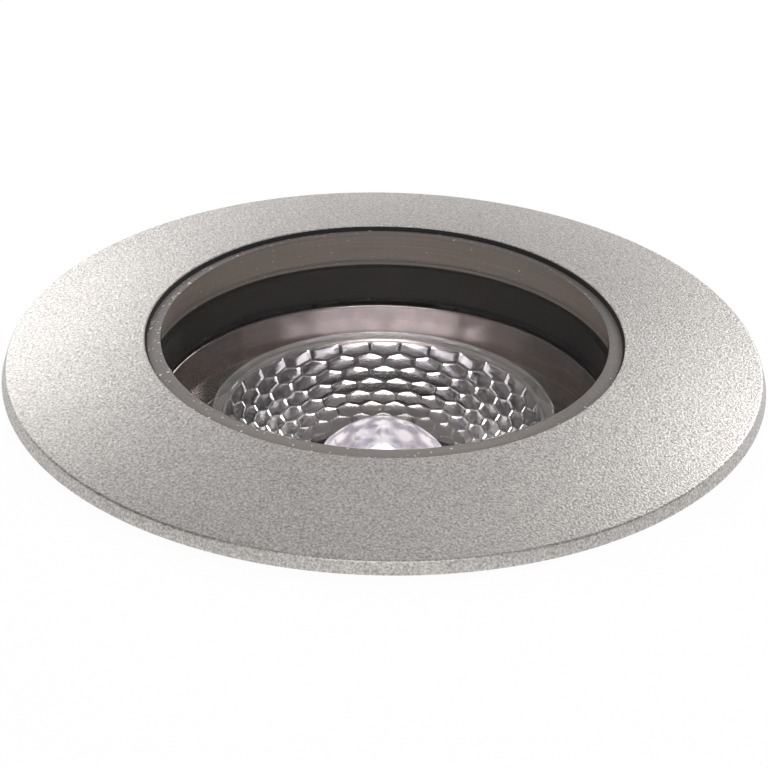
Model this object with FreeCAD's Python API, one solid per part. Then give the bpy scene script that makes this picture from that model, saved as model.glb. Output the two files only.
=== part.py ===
import FreeCAD, Part
import math
import os

from FreeCAD import Vector

# Small round in ground well light. Millimetres, +Z up.
# Origin: centre of the trim's underside, where the flange rests on the ground.

# ---- trim ring: turned and blasted stainless steel, conical face, straight rim ----
FLANGE_W = 16.8            # width of the flange from the opening to its rim at the ground
RIM_FLARE = 0.44           # how far the rim leans out towards the ground
RIM_H = 1.65               # height of the rim
OPENING_R = 28.2           # bore that takes the glass
OPENING_Z = 5.68           # height of the opening edge above the ground
EDGE_BREAK = 0.15          # small break on the opening edge
SLEEVE_WALL = 2.6          # wall of the sleeve that screws into the housing
LEDGE_REACH = 1.0          # how far the ledge reaches in under the gasket
LEDGE_T = 1.0
SLEEVE_LEAD = 0.6          # lead-in chamfer at the sleeve's lower end

# ---- glass: thick tempered disc with a ground bevel ----
GLASS_PLAY = 0.25          # joint between the glass and its bore
GLASS_DOWN = 0.04          # how far the glass stays below the opening edge
GLASS_T = 12.7
BEVEL_W = 1.61             # ground bevel: width and drop
BEVEL_DROP = 0.53
GLASS_FOOT_BREAK = 0.4
GASKET_T = 3.54            # black ring under the glass
GASKET_LIP = 0.6           # its lip, which hangs down in front of the ledge

# ---- seals ----
SEAL_PLAY = 0.03           # clearance of the silicone joint to glass and bore
JOINT_DOWN = 0.14          # how far the joint stays below the opening edge
SEAT_CLEAR = 0.05          # clearance of a seal ring to its bore
ORING_DEPTH = 1.5          # groove in the sleeve
ORING_GROOVE_TOP = -1.2
ORING_GROOVE_H = 2.0
ORING_CLEAR = 0.04         # clearance of an O-ring to its groove
ORING_EDGE = 0.45
PAD_OUT_EDGE = 2.5         # steel left outside the soft ring of the flange
PAD_W = 5.5
PAD_T = 1.0
PAD_CLEAR = 0.1

# ---- housing: cast and turned aluminium canister ----
THREAD_CLEAR = 0.7         # room for the thread between sleeve and housing
COLLAR_WALL = 3.0          # wall outside the thread
COLLAR_H = 13.5
COLLAR_STEP = 1.5          # step from the collar down to the canister
CAN_WALL = 3.8
CAN_DEPTH = 82.0           # depth of the canister below the ground
BOSS_R = 3.6
BOSS_INSET = 3.0           # boss axis inside the canister's bore
BOSS_COUNT = 3
BOSS_START = 60.0
BOSS_FOOT_GAP = 0.3        # between the cap's spigot and the bosses
COVER_DEPTH = 62.0         # top of the bosses, which carry the driver cover
TAP_R = 1.25               # tapping hole for M3
TAP_DEPTH = 9.0
GRIP_DEPTHS = (24.0, 66.0) # two grip rings around the canister
GRIP_W = 5.0
GRIP_GROOVE = 1.4
GRIP_STAND = 1.3           # how far the grip ring stands out of the wall
SNAP_GROOVE_H = 1.0
SNAP_GROOVE = 0.8

# ---- turntable: the satin metal ring seen below the gasket ----
TURN_TOP = -12.9           # upper side of the turntable's flange
TURN_FLANGE_T = 1.4
TURN_PLAY = 0.3            # radial play of the flange in the housing
TURN_WALL = 2.2
TURN_FLOOR_DROP = 4.0      # floor below the flange's upper side
TURN_FLOOR_T = 1.5
TURN_HOLE_GAP = 2.8        # room between the lens flange and the floor
LIP_H = 0.75               # thin upright lip that hides the snap ring
LIP_T = 0.6
SLIP_T = 0.68              # slip washer under the flange
SLIP_CLEAR = 0.02
SNAP_T = 0.8               # snap ring over the flange
SNAP_LIFT = 0.1
SNAP_W = 2.86
SNAP_GAP_DEG = 22.0
SNAP_EYE_R = 1.0
SNAP_LUG_R = 1.7

# ---- tilt pivot ----
PIVOT_Z = -22.0
PIVOT_R = 1.5
PIVOT_CLEAR = 0.05
PIVOT_HEAD_R = 2.7
PIVOT_HEAD_T = 1.2
PIVOT_KEY_R = 0.87
PIVOT_KEY_DEPTH = 0.8
PIVOT_END = 0.6            # pin end inside the cradle's arm
PIVOT_SIDE = 1.2           # between the pin's head and the canister wall
EAR_GAP = 0.6              # between the ear and the cradle's arm
EAR_T = 2.6
EAR_R = 4.5
FRICTION_T = 0.5           # friction washer between ear and arm
FRICTION_R = 3.0

# ---- lens: clear moulded lens with honeycomb flank ----
LENS_TOP = -12.25
LENS_FLANGE_T = 1.7
LENS_EDGE = 0.3
LENS_SHOULDER = 1.2        # flange outside the flank
LENS_H = 21.4
LENS_FOOT_R = 9.9
FLANK_BOW = 0.55           # 1 for a cone, less for a fuller bowl
CELLS = 32
CELL_ROWS = 9
CELL_PILLOW = 0.16         # how far the middle of a cell stands out
FOOT_LAND = 1.7            # flat ring the lens stands on
POCKET_DRAFT = 1.0         # how far the hollow over the light source draws in
POCKET_WALL_H = 11.05      # straight part of that hollow
POCKET_DOME_H = 9.7        # its domed roof
FACE_STEP_W = 1.5          # shallow step on the lens's upper face
FACE_STEP_H = 0.35

# ---- lens holder ----
HOLDER_SEAT_W = 1.4        # width of the seat under the lens
HOLDER_SIDE = 0.2          # play beside the lens
HOLDER_WALL = 1.0
HOLDER_SEAT_T = 1.2
HOLDER_LIP = 0.5           # collar standing up around the foot of the lens
HOLDER_PLAY = 0.05         # play under the lens
HOLDER_LEGS = 3
HOLDER_TURN = 30.0
HOLDER_LEG_W = 2.4
HOLDER_LEG_H = 1.4
HOLDER_POST_T = 0.8

# ---- light source ----
BOARD_SIDE = 4.0           # between the board and the cradle's arm
BOARD_T = 1.6
PACKAGE_R = 8.2
PACKAGE_T = 0.9
EMITTER_R = 6.6
EMITTER_T = 0.6
EMITTER_DOWN = 0.05
EMITTER_PLAY = 0.03
BOARD_SCREWS = 3
BOARD_SCREW_EDGE = 2.8
BOARD_SCREW_L = 6.6
SHEET_T = 0.3              # heat-conducting sheet under the board
SHEET_EDGE = 0.4
CONNECTOR_W = 5.0
CONNECTOR_D = 3.4
CONNECTOR_H = 2.4
CONNECTOR_WALL = 0.5
CONNECTOR_EDGE = 0.6

# ---- cradle: bent aluminium strap that carries the lamp ----
ARM_GAP = 1.6              # between the lens flange and the arm
ARM_T = 1.6
ARM_W = 6.4
CRADLE_T = 1.6
BEND_R = 2.0

# ---- heat sink: turned and sawn aluminium ----
SINK_SIDE = 0.5            # how far the heat sink stands out past the board
SINK_PLATE_T = 4.0
SINK_H = 13.4
SINK_PAD_EDGE = 0.5
FIN_T = 1.5
FIN_PITCH = 4.1
FIN_COUNT = 9
SINK_CORE_R = 5.0
SINK_TAP_LEFT = 0.4        # plate left under the tapped holes

# ---- driver ----
COVER_T = 1.6
COVER_RIM_T = 1.2
COVER_RIM_H = 1.8
COVER_HOLE_R = 4.0
COVER_PLAY = 0.3
GROMMET_REACH = 1.6
GROMMET_LIP = 1.2
DRIVER_R = 20.5
DRIVER_T = 1.6
DRIVER_LIFT = 9.0          # upper side of the board above the canister's foot
STANDOFF_AF = 5.0
STANDOFF_INSET = 3.5
STANDOFFS = 3
STANDOFF_START = 90.0
CHOKE_AT = (-10.0, 0.0)
CHOKE_R = 5.5
CHOKE_H = 9.0
CHOKE_CHEEK = 1.6
CAN_AT = ((4.0, -14.0), (12.0, -2.6))
CAN_R = 4.0
CAN_H = 10.5
CHIP_AT = ((3.0, 2.5, 5.0, 4.0, 1.6), (7.8, 2.0, 3.0, 3.0, 1.1), (3.0, 7.0, 4.0, 2.4, 1.2))
TERMINAL_W = 8.0
TERMINAL_D = 7.5
TERMINAL_H = 6.5
TERMINAL_AT = ((-6.5, -13.0, -115.0), (12.0, 9.5, 40.0))
WIRE_HOLE_R = 0.9

# ---- base cap and gland ----
CAP_T = 4.0
CAP_EDGE = 0.6
CAP_PLAY = 0.3
CAP_SPIGOT_H = 4.2
CAP_GROOVE_H = 2.0
CAP_GROOVE_DEPTH = 1.3
CAP_GROOVE_LIFT = 1.0
CAP_DISH_EDGE = 7.4        # solid ring left outside the dished middle
CAP_DISH = 3.0
GLAND_R = 5.8
GLAND_CLEAR = 0.1
GLAND_HEX_AF = 15.0
GLAND_HEX_T = 4.0
GLAND_COLLET_R = 5.4
GLAND_COLLET_H = 7.0
GLAND_SLIT_W = 0.7
GLAND_NUT_TOP_GAP = 0.6
GLAND_NUT_WALL = 1.3
GLAND_NUT_H = 9.5
GLAND_NUT_HEX_H = 5.4
GLAND_BORE_R = 3.6
GLAND_SEAL_BORE_R = 2.6
GLAND_WASHER_T = 1.2

# ---- screws ----
M3_R = 1.5
M3_HEAD_R = 2.75
M3_HEAD_H = 1.7
M3_KEY_AF = 2.0
M2_R = 1.0
M2_HEAD_R = 1.9
M2_HEAD_H = 1.2
M2_KEY_AF = 1.3
HOLE_CLEAR = 0.1
THREAD_FIT = 0.03          # clearance of a screw's shank to its tapped hole
COVER_SCREW_L = 7.0
DRIVER_SCREW_L = 5.0

# ---- sizes that follow ----
RIM_FOOT_R = OPENING_R + FLANGE_W
RIM_TOP_R = RIM_FOOT_R - RIM_FLARE
SLEEVE_R = OPENING_R + SLEEVE_WALL
LEDGE_R = OPENING_R - LEDGE_REACH
GLASS_R = OPENING_R - GLASS_PLAY
BEVEL_R = GLASS_R - BEVEL_W
GLASS_TOP = OPENING_Z - GLASS_DOWN
GLASS_FOOT = GLASS_TOP - GLASS_T
GASKET_R = LEDGE_R - GASKET_LIP
LEDGE_Z = GLASS_FOOT - GASKET_T
SLEEVE_BOTTOM = LEDGE_Z - LEDGE_T
ORING_GROOVE_R = SLEEVE_R - ORING_DEPTH
HOUSING_BORE_R = SLEEVE_R + THREAD_CLEAR
COLLAR_R = HOUSING_BORE_R + COLLAR_WALL
HOUSING_R = COLLAR_R - COLLAR_STEP
CAN_BORE_R = HOUSING_R - CAN_WALL
PAD_OUT_R = RIM_FOOT_R - PAD_OUT_EDGE
PAD_IN_R = PAD_OUT_R - PAD_W
HOUSING_FOOT = -CAN_DEPTH
CAP_FOOT = HOUSING_FOOT - CAP_T
BOSS_PCD_R = CAN_BORE_R - BOSS_INSET
BOSS_FOOT = HOUSING_FOOT + CAP_SPIGOT_H + BOSS_FOOT_GAP
COVER_Z = -COVER_DEPTH
SNAP_GROOVE_R = HOUSING_BORE_R + SNAP_GROOVE
TURN_FLANGE_R = HOUSING_BORE_R - TURN_PLAY
TURN_BORE_R = GASKET_R
TURN_WALL_R = TURN_BORE_R + TURN_WALL
TURN_FLOOR_TOP = TURN_TOP - TURN_FLOOR_DROP
TURN_FLOOR_FOOT = TURN_FLOOR_TOP - TURN_FLOOR_T
TURN_FLANGE_FOOT = TURN_TOP - TURN_FLANGE_T
TURN_LEDGE_Z = TURN_FLANGE_FOOT - SLIP_T - SLIP_CLEAR
EAR_OUT_X = CAN_BORE_R - PIVOT_SIDE - PIVOT_HEAD_T
EAR_IN_X = EAR_OUT_X - EAR_T
ARM_IN_X = EAR_IN_X - EAR_GAP - ARM_T
LENS_R = ARM_IN_X - ARM_GAP
TURN_HOLE_R = LENS_R + TURN_HOLE_GAP
LENS_FLANK_R = LENS_R - LENS_SHOULDER
LENS_FLANK_TOP = LENS_TOP - LENS_FLANGE_T
LENS_FOOT = LENS_FLANK_TOP - LENS_H
BOARD_TOP = LENS_FOOT - HOLDER_PLAY - HOLDER_SEAT_T
SHEET_TOP = BOARD_TOP - BOARD_T
CRADLE_Z = SHEET_TOP - SHEET_T
SINK_TOP = CRADLE_Z - CRADLE_T
SINK_FOOT = SINK_TOP - SINK_H
BOARD_R = ARM_IN_X - BOARD_SIDE
SINK_R = BOARD_R + SINK_SIDE
BOARD_SCREW_PCD_R = BOARD_R - BOARD_SCREW_EDGE
COVER_R = CAN_BORE_R - COVER_PLAY
DRIVER_Z = HOUSING_FOOT + DRIVER_LIFT
CAP_SPIGOT_R = CAN_BORE_R - CAP_PLAY
CAP_GROOVE_R = CAP_SPIGOT_R - CAP_GROOVE_DEPTH
CAP_INSIDE = HOUSING_FOOT + CAP_SPIGOT_H - CAP_DISH
CAP_DISH_R = CAP_SPIGOT_R - CAP_DISH_EDGE
GLAND_SHOULDER = CAP_FOOT - GLAND_WASHER_T
GLAND_HEX_FOOT = GLAND_SHOULDER - GLAND_HEX_T
GLAND_COLLET_FOOT = GLAND_HEX_FOOT - GLAND_COLLET_H
GLAND_NUT_TOP = GLAND_HEX_FOOT - GLAND_NUT_TOP_GAP
GLAND_NUT_FOOT = GLAND_NUT_TOP - GLAND_NUT_H
CUT = 1.0                  # how far a cutting tool runs past the face it cuts


def turned(points):
    """Solid of revolution about Z from a closed (radius, height) outline."""
    corners = [Vector(r, 0, z) for r, z in points]
    corners.append(corners[0])
    face = Part.Face(Part.makePolygon(corners))
    return face.revolve(Vector(0, 0, 0), Vector(0, 0, 1), 360)


def tube(inner, outer, bottom, top):
    return turned([(inner, bottom), (outer, bottom), (outer, top), (inner, top)])


def rod(radius, bottom, top, x=0.0, y=0.0):
    return Part.makeCylinder(radius, top - bottom, Vector(x, y, bottom))


def cross_rod(radius, start, length):
    """Rod along X at the height of the tilt pivot."""
    return Part.makeCylinder(radius, length, Vector(start, 0, PIVOT_Z), Vector(1, 0, 0))


def prism(across_flats, bottom, top, x=0.0, y=0.0):
    radius = across_flats / math.sqrt(3)
    corners = []
    for i in range(7):
        a = math.radians(60 * i)
        corners.append(Vector(x + radius * math.cos(a), y + radius * math.sin(a), bottom))
    face = Part.Face(Part.makePolygon(corners))
    return face.extrude(Vector(0, 0, top - bottom))


def block(x0, x1, y0, y1, z0, z1):
    return Part.makeBox(x1 - x0, y1 - y0, z1 - z0, Vector(x0, y0, z0))


def spun(shape, degrees):
    copy = shape.copy()
    copy.rotate(Vector(0, 0, 0), Vector(0, 0, 1), degrees)
    return copy


def around(shape, count, start=0.0):
    return [spun(shape, start + 360.0 * i / count) for i in range(count)]


def opposite(shape):
    """The same piece on the other end of the tilt axis."""
    return spun(shape, 180)


def oring(inner, outer, bottom, top):
    """O-ring as it sits squeezed in its groove."""
    e = ORING_EDGE
    return turned([
        (inner, bottom),
        (outer - e, bottom),
        (outer, bottom + e),
        (outer, top - e),
        (outer - e, top),
        (inner, top),
    ])


def trim_ring():
    groove_bottom = ORING_GROOVE_TOP - ORING_GROOVE_H
    return turned([
        (RIM_FOOT_R, 0),
        (RIM_TOP_R, RIM_H),
        (OPENING_R + EDGE_BREAK, OPENING_Z),
        (OPENING_R, OPENING_Z - EDGE_BREAK),
        (OPENING_R, LEDGE_Z),
        (LEDGE_R, LEDGE_Z),
        (LEDGE_R, SLEEVE_BOTTOM),
        (SLEEVE_R - SLEEVE_LEAD, SLEEVE_BOTTOM),
        (SLEEVE_R, SLEEVE_BOTTOM + SLEEVE_LEAD),
        (SLEEVE_R, groove_bottom),
        (ORING_GROOVE_R, groove_bottom),
        (ORING_GROOVE_R, ORING_GROOVE_TOP),
        (SLEEVE_R, ORING_GROOVE_TOP),
        (SLEEVE_R, 0),
        (PAD_IN_R - PAD_CLEAR, 0),
        (PAD_IN_R - PAD_CLEAR, PAD_T),
        (PAD_OUT_R + PAD_CLEAR, PAD_T),
        (PAD_OUT_R + PAD_CLEAR, 0),
    ])


def glass_disc():
    return turned([
        (0, GLASS_FOOT),
        (GLASS_R - GLASS_FOOT_BREAK, GLASS_FOOT),
        (GLASS_R, GLASS_FOOT + GLASS_FOOT_BREAK),
        (GLASS_R, GLASS_TOP - BEVEL_DROP),
        (BEVEL_R, GLASS_TOP),
        (0, GLASS_TOP),
    ])


def glass_joint():
    bottom = GLASS_FOOT + GLASS_FOOT_BREAK
    return tube(GLASS_R + SEAL_PLAY, OPENING_R - SEAL_PLAY, bottom, OPENING_Z - JOINT_DOWN)


def glass_gasket():
    """Black ring the glass stands on, with a lip down over the ledge."""
    lip_back = LEDGE_R - SEAL_PLAY
    outer = OPENING_R - SEAT_CLEAR
    return turned([
        (GASKET_R, SLEEVE_BOTTOM),
        (lip_back, SLEEVE_BOTTOM),
        (lip_back, LEDGE_Z),
        (outer, LEDGE_Z),
        (outer, GLASS_FOOT),
        (GASKET_R, GLASS_FOOT),
    ])


def trim_oring():
    top = ORING_GROOVE_TOP - ORING_CLEAR
    bottom = ORING_GROOVE_TOP - ORING_GROOVE_H + ORING_CLEAR
    return oring(ORING_GROOVE_R + ORING_CLEAR, HOUSING_BORE_R - ORING_CLEAR, bottom, top)


def flange_pad():
    return tube(PAD_IN_R, PAD_OUT_R, 0, PAD_T)


def grip_grooves():
    cutters = []
    for depth in GRIP_DEPTHS:
        top = -depth + GRIP_W / 2
        cutters.append(tube(HOUSING_R - GRIP_GROOVE, HOUSING_R + CUT, top - GRIP_W, top))
    return cutters


def housing():
    body = turned([
        (COLLAR_R, 0),
        (COLLAR_R, -COLLAR_H),
        (HOUSING_R, -COLLAR_H - COLLAR_STEP),
        (HOUSING_R, HOUSING_FOOT),
        (CAN_BORE_R, HOUSING_FOOT),
        (CAN_BORE_R, TURN_LEDGE_Z),
        (HOUSING_BORE_R, TURN_LEDGE_Z),
        (HOUSING_BORE_R, TURN_TOP),
        (SNAP_GROOVE_R, TURN_TOP),
        (SNAP_GROOVE_R, TURN_TOP + SNAP_GROOVE_H),
        (HOUSING_BORE_R, TURN_TOP + SNAP_GROOVE_H),
        (HOUSING_BORE_R, 0),
    ])
    inside_wall = rod(HOUSING_R - CAN_WALL / 2, BOSS_FOOT, COVER_Z)
    post = rod(BOSS_R, BOSS_FOOT, COVER_Z, BOSS_PCD_R, 0)
    posts = [p.common(inside_wall) for p in around(post, BOSS_COUNT, BOSS_START)]
    body = body.fuse(posts).removeSplitter()
    lower_tap = rod(TAP_R, BOSS_FOOT - CUT, BOSS_FOOT + TAP_DEPTH, BOSS_PCD_R, 0)
    upper_tap = rod(TAP_R, COVER_Z - TAP_DEPTH, COVER_Z + CUT, BOSS_PCD_R, 0)
    taps = around(lower_tap, BOSS_COUNT, BOSS_START) + around(upper_tap, BOSS_COUNT, BOSS_START)
    return body.cut(taps + grip_grooves())


def grip_rings():
    rings = []
    inner = HOUSING_R - GRIP_GROOVE + SEAT_CLEAR
    half = GRIP_W / 2 - SEAT_CLEAR
    crest = HOUSING_R + GRIP_STAND
    for depth in GRIP_DEPTHS:
        rings.append(turned([
            (inner, -depth - half),
            (HOUSING_R, -depth - half),
            (crest, -depth - half / 3),
            (crest, -depth + half / 3),
            (HOUSING_R, -depth + half),
            (inner, -depth + half),
        ]))
    return Part.makeCompound(rings)


def snap_ring():
    """Flat ring with two eyed lugs beside its gap, at the back."""
    outer = SNAP_GROOVE_R - SEAT_CLEAR
    bottom = TURN_TOP + SNAP_LIFT
    top = bottom + SNAP_T
    ring = tube(outer - SNAP_W, outer, bottom, top)
    reach = 2 * outer
    half_gap = math.radians(SNAP_GAP_DEG / 2)
    tip = Vector(0, 0, bottom - CUT)
    left = Vector(reach * math.cos(half_gap), reach * math.sin(half_gap), tip.z)
    right = Vector(left.x, -left.y, tip.z)
    gap = Part.Face(Part.makePolygon([tip, right, left, tip])).extrude(Vector(0, 0, SNAP_T + 2 * CUT))
    ring = ring.cut(gap)
    lug_r = HOUSING_BORE_R - SNAP_LUG_R - TURN_PLAY
    lug_angle = half_gap + SNAP_LUG_R / lug_r
    for end in (-1, 1):
        x = lug_r * math.cos(end * lug_angle)
        y = lug_r * math.sin(end * lug_angle)
        ring = ring.fuse(rod(SNAP_LUG_R, bottom, top, x, y))
        ring = ring.cut(rod(SNAP_EYE_R, bottom - CUT, top + CUT, x, y))
    return spun(ring, 90)


def slip_washer():
    return tube(CAN_BORE_R + SEAT_CLEAR, HOUSING_BORE_R - PAD_CLEAR, TURN_LEDGE_Z, TURN_LEDGE_Z + SLIP_T)


def turntable():
    ring = turned([
        (TURN_BORE_R, TURN_TOP + LIP_H),
        (TURN_BORE_R + LIP_T, TURN_TOP + LIP_H),
        (TURN_BORE_R + LIP_T, TURN_TOP),
        (TURN_FLANGE_R, TURN_TOP),
        (TURN_FLANGE_R, TURN_FLANGE_FOOT),
        (TURN_WALL_R, TURN_FLANGE_FOOT),
        (TURN_WALL_R, TURN_FLOOR_FOOT),
        (TURN_HOLE_R, TURN_FLOOR_FOOT),
        (TURN_HOLE_R, TURN_FLOOR_TOP),
        (TURN_BORE_R, TURN_FLOOR_TOP),
    ])
    plate = block(EAR_IN_X, EAR_OUT_X, -EAR_R, EAR_R, PIVOT_Z, TURN_FLOOR_FOOT)
    ear = plate.fuse(cross_rod(EAR_R, EAR_IN_X, EAR_T))
    body = ring.fuse([ear, opposite(ear)]).removeSplitter()
    return body.cut(cross_rod(PIVOT_R, -EAR_OUT_X - CUT, 2 * (EAR_OUT_X + CUT)))


def pivot_pins():
    inner_end = ARM_IN_X - PIVOT_END
    pin = cross_rod(PIVOT_R, inner_end, EAR_OUT_X - inner_end)
    pin = pin.fuse(cross_rod(PIVOT_HEAD_R, EAR_OUT_X, PIVOT_HEAD_T)).removeSplitter()
    key_floor = EAR_OUT_X + PIVOT_HEAD_T - PIVOT_KEY_DEPTH
    pin = pin.cut(cross_rod(PIVOT_KEY_R, key_floor, PIVOT_KEY_DEPTH + CUT))
    return Part.makeCompound([pin, opposite(pin)])


def friction_washers():
    start = EAR_IN_X - (EAR_GAP + FRICTION_T) / 2
    ring = cross_rod(FRICTION_R, start, FRICTION_T)
    ring = ring.cut(cross_rod(PIVOT_R + PIVOT_CLEAR, start - CUT, FRICTION_T + 2 * CUT))
    return Part.makeCompound([ring, opposite(ring)])


def cradle():
    outer = ARM_IN_X + ARM_T
    y = ARM_W / 2
    strap = block(-outer, outer, -y, y, SINK_TOP, CRADLE_Z)
    arm = block(ARM_IN_X, outer, -y, y, SINK_TOP, PIVOT_Z).fuse(cross_rod(y, ARM_IN_X, ARM_T))
    body = strap.fuse([arm, opposite(arm)]).removeSplitter()
    bends = []
    for edge in body.Edges:
        middle = edge.CenterOfMass
        at_corner = abs(abs(middle.x) - outer) < 0.01 and abs(middle.z - SINK_TOP) < 0.01
        if at_corner and abs(middle.y) < 0.01:
            bends.append(edge)
    body = body.makeFillet(BEND_R, bends)
    pad = rod(SINK_R - SINK_PAD_EDGE, SINK_TOP, CRADLE_Z)
    body = body.fuse(pad).removeSplitter()
    pivot = cross_rod(PIVOT_R + PIVOT_CLEAR, -outer - CUT, 2 * (outer + CUT))
    screw = rod(M3_R + HOLE_CLEAR, SINK_TOP - CUT, CRADLE_Z + CUT, BOARD_SCREW_PCD_R, 0)
    return body.cut([pivot] + around(screw, BOARD_SCREWS, 90))


def flank_radius(t):
    """Radius of the lens flank: t is 0 at the top and 1 at the foot of a full bowl."""
    return LENS_FOOT_R + (LENS_FLANK_R - LENS_FOOT_R) * (1 - t) ** FLANK_BOW


def row_borders(steps=600):
    """Where the rows of cells meet: each row is as high as its cells are wide."""
    reach = [0.0]
    for i in range(steps):
        a = flank_radius(i / steps)
        b = flank_radius((i + 1) / steps)
        reach.append(reach[-1] + math.hypot(a - b, LENS_H / steps) / ((a + b) / 2))
    borders = []
    k = 0
    for row in range(CELL_ROWS + 1):
        while reach[k] < reach[-1] * row / CELL_ROWS - 1e-9:
            k += 1
        borders.append(k / steps)
    return borders


def flank_point(angle, t, lift=0.0):
    r = flank_radius(t) + lift
    return Vector(r * math.cos(angle), r * math.sin(angle), LENS_FLANK_TOP - LENS_H * t)


def flank_rings(borders, half):
    """Rings of corners: between two rows the ring zigzags, so that cells are hexagons."""
    rings = []
    for row, t in enumerate(borders):
        ring = []
        for i in range(2 * CELLS):
            shift = 0.0
            if 0 < row < CELL_ROWS:
                room = min(t - borders[row - 1], borders[row + 1] - t)
                shift = room / 6 if (i + row) % 2 else -room / 6
            ring.append(flank_point(i * half, t + shift))
        rings.append(ring)
    return rings


def lens_core():
    """The bowl with its honeycomb flank; each cell is six planes round a raised middle."""
    borders = row_borders()
    half = math.pi / CELLS
    rings = flank_rings(borders, half)
    faces = []
    for row in range(CELL_ROWS):
        middle = (borders[row] + borders[row + 1]) / 2
        for j in range(CELLS):
            i = 2 * j + row % 2
            low = [rings[row + 1][(i + d) % (2 * CELLS)] for d in (-1, 0, 1)]
            high = [rings[row][(i + d) % (2 * CELLS)] for d in (1, 0, -1)]
            centre = flank_point(i * half, middle, CELL_PILLOW)
            loop = low + high
            for n in range(6):
                faces.append(Part.Face(Part.makePolygon([loop[n], loop[(n + 1) % 6], centre, loop[n]])))
    for ring in (rings[0], rings[-1]):
        faces.append(Part.Face(Part.makePolygon(ring + [ring[0]])))
    core = Part.makeSolid(Part.makeShell(faces))
    if core.Volume < 0:
        core.reverse()
    return core


def lens_pocket(bands=6):
    """Hollow over the light source: a drawn-in wall under a roof like a bullet's nose."""
    foot_r = LENS_FOOT_R - FOOT_LAND
    wall_top = LENS_FOOT + POCKET_WALL_H
    points = [(0, LENS_FOOT - CUT), (foot_r, LENS_FOOT - CUT), (foot_r, LENS_FOOT)]
    for band in range(bands + 1):
        share = 1 - band / bands
        rise = POCKET_DOME_H * (1 - share ** 2)
        points.append(((foot_r - POCKET_DRAFT) * share, wall_top + rise))
    return turned(points)


def lens():
    flange = turned([
        (0, LENS_FLANK_TOP),
        (LENS_R, LENS_FLANK_TOP),
        (LENS_R, LENS_TOP - LENS_EDGE),
        (LENS_R - LENS_EDGE, LENS_TOP),
        (LENS_R - FACE_STEP_W, LENS_TOP),
        (LENS_R - FACE_STEP_W, LENS_TOP - FACE_STEP_H),
        (0, LENS_TOP - FACE_STEP_H),
    ])
    return lens_core().fuse(flange).cut(lens_pocket())


def lens_holder():
    seat = LENS_FOOT - HOLDER_PLAY
    bore = LENS_FOOT_R - HOLDER_SEAT_W
    inside = flank_radius(1 - HOLDER_LIP / LENS_H) + CELL_PILLOW + HOLDER_SIDE
    outside = inside + HOLDER_WALL
    collar = turned([
        (bore, BOARD_TOP),
        (outside, BOARD_TOP),
        (outside, seat + HOLDER_LIP),
        (inside, seat + HOLDER_LIP),
        (inside, seat),
        (bore, seat),
    ])
    y = HOLDER_LEG_W / 2
    post_in = LENS_FLANK_R + CELL_PILLOW + HOLDER_SIDE
    reach = post_in + HOLDER_POST_T
    leg = block(inside + HOLDER_WALL / 2, reach, -y, y, BOARD_TOP, BOARD_TOP + HOLDER_LEG_H)
    post = block(post_in, reach, -y, y, BOARD_TOP, LENS_FLANK_TOP - HOLDER_PLAY)
    legs = around(leg.fuse(post), HOLDER_LEGS, HOLDER_TURN)
    return collar.fuse(legs).removeSplitter()


def board_holes(bottom, top):
    hole = rod(M3_R + HOLE_CLEAR, bottom - CUT, top + CUT, BOARD_SCREW_PCD_R, 0)
    return around(hole, BOARD_SCREWS, 90)


def led_board():
    return rod(BOARD_R, SHEET_TOP, BOARD_TOP).cut(board_holes(SHEET_TOP, BOARD_TOP))


def heat_sheet():
    return rod(BOARD_R - SHEET_EDGE, CRADLE_Z, SHEET_TOP).cut(board_holes(CRADLE_Z, SHEET_TOP))


def led_package():
    top = BOARD_TOP + PACKAGE_T
    body = rod(PACKAGE_R, BOARD_TOP, top)
    return body.cut(rod(EMITTER_R + EMITTER_PLAY, top - EMITTER_T, top + CUT))


def led_emitter():
    top = BOARD_TOP + PACKAGE_T
    return rod(EMITTER_R, top - EMITTER_T, top - EMITTER_DOWN)


def board_connector():
    """Small plug-in socket at the edge of the light source's board."""
    w = CONNECTOR_W / 2
    outer = BOARD_R - CONNECTOR_EDGE
    top = BOARD_TOP + CONNECTOR_H
    body = block(outer - CONNECTOR_D, outer, -w, w, BOARD_TOP, top)
    wall = CONNECTOR_WALL
    mouth = block(outer - CONNECTOR_D + 2 * wall, outer + CUT, wall - w, w - wall, BOARD_TOP + wall, top - wall)
    return opposite(body.cut(mouth))


def cap_head_screw(radius, head_r, head_h, seat, length, key):
    """Screw pointing down, its head standing on the given height."""
    shank = rod(radius - THREAD_FIT, seat - length, seat)
    head = rod(head_r, seat, seat + head_h)
    body = shank.fuse(head).removeSplitter()
    return body.cut(prism(key, seat + head_h * 0.4, seat + head_h + CUT))


def board_screws():
    head_r = M3_HEAD_R - SEAT_CLEAR
    screw = cap_head_screw(TAP_R, head_r, M3_HEAD_H, BOARD_TOP, BOARD_SCREW_L, M3_KEY_AF)
    screw.translate(Vector(BOARD_SCREW_PCD_R, 0, 0))
    return Part.makeCompound(around(screw, BOARD_SCREWS, 90))


def heat_sink():
    body = rod(SINK_R, SINK_TOP - SINK_PLATE_T, SINK_TOP).fuse(rod(SINK_CORE_R, SINK_FOOT, SINK_TOP))
    envelope = rod(SINK_R, SINK_FOOT, SINK_TOP)
    fins = []
    for i in range(FIN_COUNT):
        y = FIN_PITCH * (i - (FIN_COUNT - 1) / 2)
        fin = block(-SINK_R, SINK_R, y - FIN_T / 2, y + FIN_T / 2, SINK_FOOT, SINK_TOP - SINK_PLATE_T / 2)
        fins.append(fin.common(envelope))
    body = body.fuse(fins).removeSplitter()
    tap = rod(TAP_R, SINK_TOP - SINK_PLATE_T + SINK_TAP_LEFT, SINK_TOP + CUT, BOARD_SCREW_PCD_R, 0)
    return body.cut(around(tap, BOARD_SCREWS, 90))


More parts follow.
